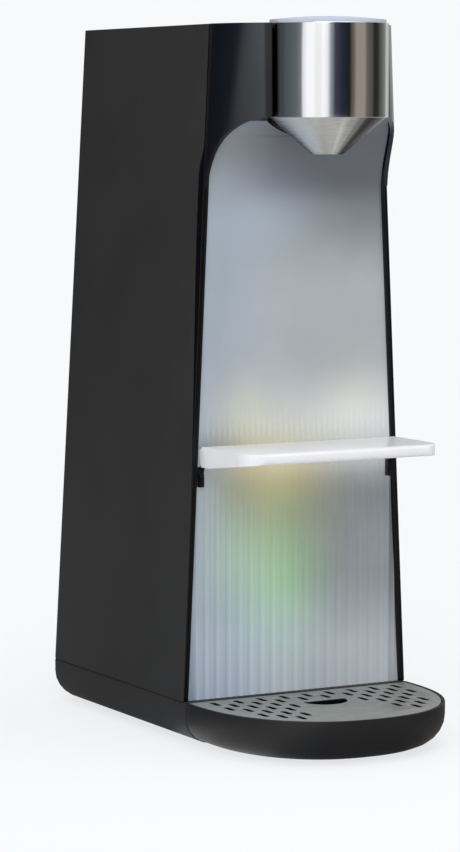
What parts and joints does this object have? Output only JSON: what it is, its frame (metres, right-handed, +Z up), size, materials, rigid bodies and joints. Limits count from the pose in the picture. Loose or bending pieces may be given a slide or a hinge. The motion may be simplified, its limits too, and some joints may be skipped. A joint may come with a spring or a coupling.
{
  "type": "soda carbonator",
  "caption": "Countertop soda carbonator: tall tapered housing with a push-button head, nozzle, fold-up cup shelf, pull-out drip tray, lift-out water tank and gas cylinder door.",
  "frame": {"origin": "on the worktop, at the middle of the footprint's bounding box, under the rubber feet", "axes": "+X to the right seen from the front, the front faces -Y, +Z up"},
  "size_m": [0.15, 0.276, 0.419],
  "materials": {
    "matte_black": "fine satin, near black",
    "base_black": "fine matte texture, near black",
    "gloss_black": "polished, piano black",
    "silver_panel": "pale silver, lit softly from behind",
    "diffuser": "frosted, light-spreading",
    "lamp": "small white lamp bodies",
    "chrome": "polished",
    "cone_metal": "turned and brushed round its axis",
    "white_plastic": "glossy white",
    "cap_blue": "satin, pale blue",
    "plate_grey": "pale grey, satin",
    "rubber": "soft black rubber",
    "steel": "plain steel",
    "aluminium": "satin, drawn",
    "brass": "turned",
    "black_plastic": "moulded, unpainted",
    "board": "green solder mask",
    "clear_plastic": "clear moulded plastic, faint blue",
    "hose": "translucent silicone"
  },
  "bodies": {
    "housing": {"base_pan": "base_black", "rubber_feet": "rubber", "base_screws": "steel", "left_side_cover": "matte_black", "right_side_cover": "matte_black", "rear_cover": "matte_black", "front_frame": "gloss_black", "top_cover": "matte_black", "upper_panel": "silver_panel", "fluted_panel": "silver_panel", "light_diffuser": "diffuser", "light_board": "board", "leds": "lamp", "chassis_plate": "steel", "top_deck": "steel", "shelf_bracket_left": "gloss_black", "shelf_bracket_right": "gloss_black", "shelf_pins": "steel", "head_sleeve": "chrome", "nozzle_cone": "cone_metal", "nozzle_tip": "black_plastic", "head_core": "black_plastic", "button_switch": "black_plastic", "solenoid_valve": "black_plastic", "outlet_hose": "hose", "feed_hose": "hose", "carbonation_chamber": "steel", "chamber_clamps": "steel", "check_valve": "brass", "riser_hoses": "hose", "water_pump": "black_plastic", "pump_motor": "steel", "pump_mount": "rubber", "pump_hose": "hose", "tank_socket": "black_plastic", "tank_seal": "rubber", "co2_cylinder": "aluminium", "cylinder_valve": "brass", "cylinder_cradle": "black_plastic", "regulator_block": "brass", "relief_valve": "brass", "gas_hose": "hose", "control_board": "board", "power_board": "board", "board_standoffs": "brass", "power_inlet": "black_plastic", "door_pins": "steel", "button_spring": "steel"},
    "tray": {"drip_tray": "base_black"},
    "tray_plate": {"drip_plate": "plate_grey"},
    "shelf": {"cup_shelf": "white_plastic"},
    "button": {"dispense_button": "cap_blue"},
    "tank": {"water_tank": "clear_plastic", "tank_valve": "white_plastic", "tank_lid_pin": "steel"},
    "lid": {"tank_lid": "matte_black"},
    "door": {"rear_door": "matte_black"}
  },
  "joints": [
    {"name": "tray_slide", "type": "slide", "parent": "housing", "child": "tray", "axis": [0, -1, 0], "range_m": [0, 0.11]},
    {"name": "plate_lift", "type": "slide", "parent": "tray", "child": "tray_plate", "axis": [0, 0, 1], "range_m": [0, 0.03]},
    {"name": "shelf_fold", "type": "hinge", "parent": "housing", "child": "shelf", "pos_m": [0, -0.0449, 0.1695], "axis": [-1, 0, 0], "range_deg": [0, 90]},
    {"name": "button_press", "type": "slide", "parent": "housing", "child": "button", "axis": [0, 0, -1], "range_m": [0, 0.0025], "stiffness_N_per_m": 500, "springref_m": -0.002, "deforming": ["button_spring"]},
    {"name": "tank_lift", "type": "slide", "parent": "housing", "child": "tank", "axis": [0, 0, 1], "range_m": [0, 0.37]},
    {"name": "lid_hinge", "type": "hinge", "parent": "tank", "child": "lid", "pos_m": [-0.033, 0.1185, 0.4126], "axis": [-1, 0, 0], "range_deg": [0, 100]},
    {"name": "door_hinge", "type": "hinge", "parent": "housing", "child": "door", "pos_m": [-0.0175, 0.13563, 0.04034], "axis": [0, -0.0257, 0.9997], "range_deg": [0, 90]}
  ]
}
